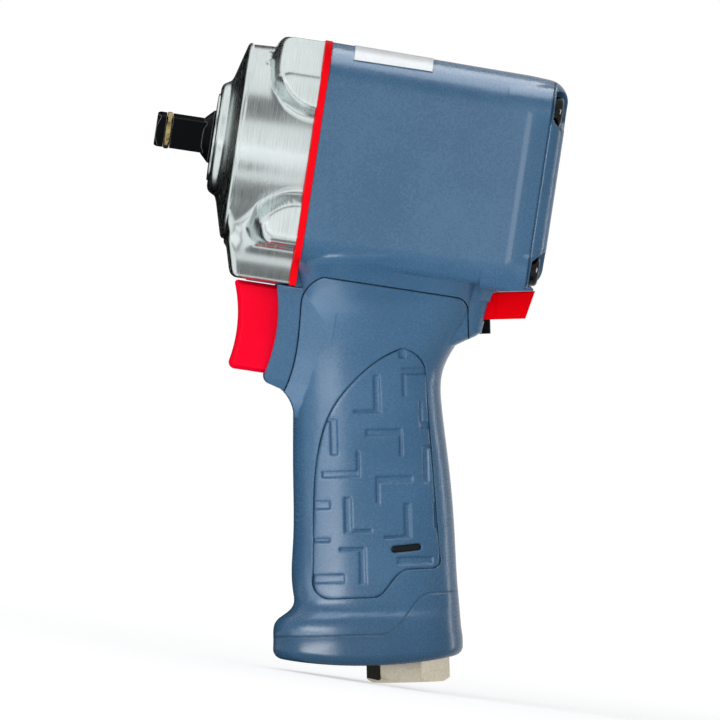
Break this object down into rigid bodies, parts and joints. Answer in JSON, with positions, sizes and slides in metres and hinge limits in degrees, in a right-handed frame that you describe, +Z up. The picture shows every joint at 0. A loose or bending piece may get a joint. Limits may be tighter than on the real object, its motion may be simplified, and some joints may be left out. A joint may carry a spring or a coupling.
{
  "type": "air impact wrench",
  "caption": "Compact pistol-grip air impact wrench with a 3/8 inch square drive, twin-hammer mechanism, vane motor, trigger throttle and reverse lever.",
  "frame": {"origin": "centre of the square drive's front face, on the spindle axis", "axes": "+X along the spindle towards the rear of the tool, +Z up, the handle points down, +Y to the tool's right side"},
  "size_m": [0.1216, 0.0666, 0.1899],
  "materials": {
    "slate_plastic": "fine moulded texture",
    "slate_rubber": "soft moulded grip",
    "red_plastic": "satin",
    "red_gasket": "satin",
    "cast_silver": "brushed cast metal",
    "black_oxide": "black oxide",
    "gold_ring": "bright",
    "nickel": "satin nickel",
    "steel": "ground",
    "bronze": "sintered",
    "black_rubber": "matt",
    "white_plate": "satin",
    "felt": "felt",
    "vane_fibre": "fibre laminate"
  },
  "bodies": {
    "wrench_body": {"nose_seal": "steel", "nose_bushing": "bronze", "hammer_case": "cast_silver", "case_gasket": "red_gasket", "front_plate": "steel", "cylinder": "steel", "rear_plate": "steel", "cylinder_dowel": "steel", "front_bearing_outer": "steel", "rear_bearing_outer": "steel", "motor_housing": "slate_plastic", "rear_cover": "slate_plastic", "rear_gasket": "slate_rubber", "case_screws": "black_oxide", "label_plate": "white_plate", "grip_sleeve": "slate_rubber", "grip_pad_left": "slate_rubber", "grip_pad_right": "slate_rubber", "base_cap": "slate_plastic", "muffler": "felt", "lock_keys": "black_oxide", "trigger_bushing": "bronze", "throttle_seat": "bronze", "throttle_spring": "steel", "spring_retainer": "bronze", "inlet_screen": "steel", "inlet_bushing": "nickel", "inlet_seal": "black_rubber", "reverse_sleeve": "steel"},
    "trigger_body": {"trigger": "red_plastic", "trigger_rod": "steel", "trigger_pin": "steel"},
    "throttle_body": {"throttle_valve": "bronze"},
    "lever_body": {"reverse_lever": "red_plastic", "reverse_valve": "bronze", "reverse_pivot": "black_oxide"},
    "rotor_body": {"rotor": "steel", "vanes": "vane_fibre", "hammer_frame": "steel", "hammer_pins": "steel", "front_bearing_inner": "steel", "rear_bearing_inner": "steel"},
    "anvil_body": {"anvil": "black_oxide", "socket_ring": "gold_ring", "socket_ring_cord": "black_rubber"},
    "front_hammer_body": {"front_hammer": "steel"},
    "rear_hammer_body": {"rear_hammer": "steel"},
    "front_balls_body": {"front_bearing_balls": "steel"},
    "rear_balls_body": {"rear_bearing_balls": "steel"}
  },
  "joints": [
    {"name": "trigger_pull", "type": "slide", "parent": "wrench_body", "child": "trigger_body", "axis": [1, 0, 0], "range_m": [0, 0.005], "stiffness_N_per_m": 800, "springref_m": -0.004},
    {"name": "throttle_valve_tilt", "type": "hinge", "parent": "wrench_body", "child": "throttle_body", "pos_m": [0.08036, 0, -0.07461], "axis": [0, 1, 0], "range_deg": [0, 14.4], "deforming": ["throttle_spring"]},
    {"name": "reverse_lever_swing", "type": "hinge", "parent": "wrench_body", "child": "lever_body", "pos_m": [0.10638, 0, -0.03849], "axis": [-0.1736, 0, 0.9848], "range_deg": [-20, 20]},
    {"name": "rotor_spin", "type": "hinge", "parent": "wrench_body", "child": "rotor_body", "pos_m": [0.075, 0, 0], "axis": [1, 0, 0], "continuous": true},
    {"name": "anvil_spin", "type": "hinge", "parent": "wrench_body", "child": "anvil_body", "pos_m": [0.025, 0, 0], "axis": [1, 0, 0], "continuous": true},
    {"name": "front_bearing_roll", "type": "hinge", "parent": "wrench_body", "child": "front_balls_body", "pos_m": [0.0623, 0, 0], "axis": [1, 0, 0], "continuous": true},
    {"name": "rear_bearing_roll", "type": "hinge", "parent": "wrench_body", "child": "rear_balls_body", "pos_m": [0.0957, 0, 0], "axis": [1, 0, 0], "continuous": true},
    {"name": "front_hammer_rock", "type": "hinge", "parent": "rotor_body", "child": "front_hammer_body", "pos_m": [0.0394, 0, 0.0192], "axis": [1, 0, 0], "range_deg": [0, 7.5]},
    {"name": "rear_hammer_rock", "type": "hinge", "parent": "rotor_body", "child": "rear_hammer_body", "pos_m": [0.0488, 0, -0.0192], "axis": [1, 0, 0], "range_deg": [0, 7.5]}
  ],
  "couplings": [
    {"joint": "throttle_valve_tilt", "follows": "trigger_pull", "rad_per_m": 50},
    {"joint": "anvil_spin", "follows": "rotor_spin", "ratio": 1},
    {"joint": "front_bearing_roll", "follows": "rotor_spin", "ratio": 0.4167},
    {"joint": "rear_bearing_roll", "follows": "rotor_spin", "ratio": 0.4167}
  ]
}
